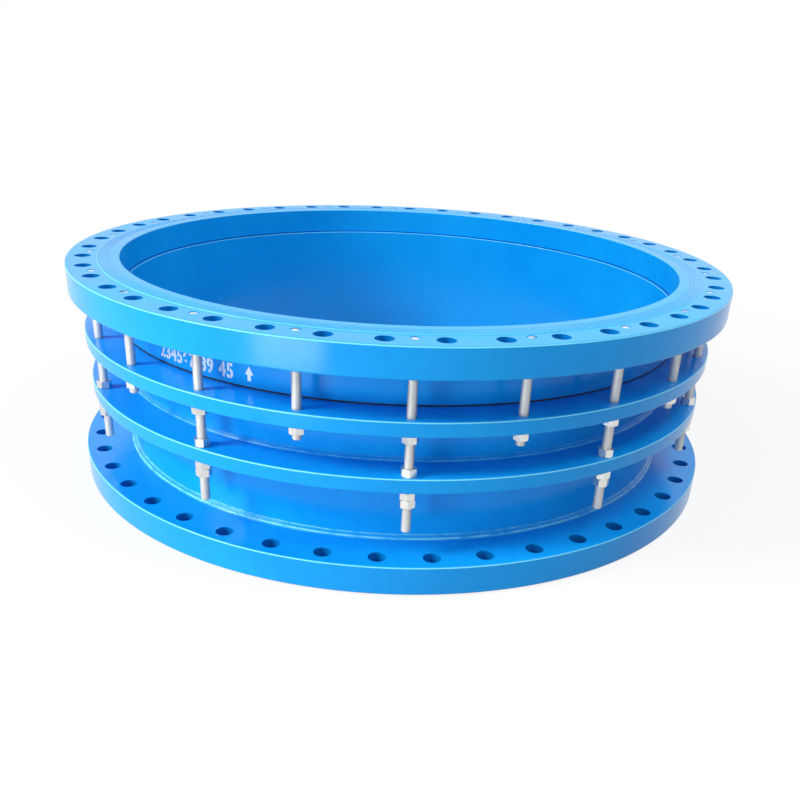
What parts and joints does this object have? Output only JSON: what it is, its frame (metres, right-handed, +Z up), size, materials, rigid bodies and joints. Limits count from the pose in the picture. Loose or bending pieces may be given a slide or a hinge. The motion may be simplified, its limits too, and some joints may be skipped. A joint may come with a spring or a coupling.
{
  "type": "dismantling joint",
  "caption": "Short flanged pipe coupling that telescopes: a sliding pipe in a socket sleeve, a gland that squeezes a rubber seal, and tie studs through a limit ring.",
  "frame": {"origin": "centre of the bottom flange's sealing face, which the joint stands on", "axes": "+Z up the pipe axis to the top flange; a long stud faces -Y"},
  "size_m": [2.015, 2.0146, 0.6405],
  "materials": {
    "blue_epoxy": "gloss fusion-bonded epoxy",
    "zinc_plated_steel": "dull galvanised",
    "seal_rubber": "matt"
  },
  "bodies": {
    "lower_half": {"bottom_flange": "blue_epoxy", "sliding_pipe": "blue_epoxy", "limit_ring": "blue_epoxy", "limit_ring_weld_top": "blue_epoxy", "limit_ring_weld_under": "blue_epoxy", "pipe_weld_outer": "blue_epoxy", "pipe_weld_inner": "blue_epoxy", "limit_nuts_above": "zinc_plated_steel", "limit_nuts_below": "zinc_plated_steel", "limit_lock_nuts": "zinc_plated_steel"},
    "upper_half": {"long_stud_01": "zinc_plated_steel", "long_stud_02": "zinc_plated_steel", "long_stud_03": "zinc_plated_steel", "long_stud_04": "zinc_plated_steel", "long_stud_05": "zinc_plated_steel", "long_stud_06": "zinc_plated_steel", "long_stud_07": "zinc_plated_steel", "long_stud_08": "zinc_plated_steel", "long_stud_09": "zinc_plated_steel", "long_stud_10": "zinc_plated_steel", "long_stud_11": "zinc_plated_steel", "seal_ring": "seal_rubber", "short_stud_01": "zinc_plated_steel", "short_stud_02": "zinc_plated_steel", "short_stud_03": "zinc_plated_steel", "short_stud_04": "zinc_plated_steel", "short_stud_05": "zinc_plated_steel", "short_stud_06": "zinc_plated_steel", "short_stud_07": "zinc_plated_steel", "short_stud_08": "zinc_plated_steel", "short_stud_09": "zinc_plated_steel", "short_stud_10": "zinc_plated_steel", "short_stud_11": "zinc_plated_steel", "sleeve_weld": "blue_epoxy", "socket_sleeve": "blue_epoxy", "top_flange": "blue_epoxy"},
    "gland": {"gland_ring": "blue_epoxy", "gland_nuts": "zinc_plated_steel"}
  },
  "joints": [
    {"name": "telescope", "type": "slide", "parent": "lower_half", "child": "upper_half", "axis": [0, 0, 1], "range_m": [-0.0015, 0.06]},
    {"name": "gland_drop", "type": "slide", "parent": "upper_half", "child": "gland", "axis": [0, 0, -1], "range_m": [0, 0.008]}
  ]
}
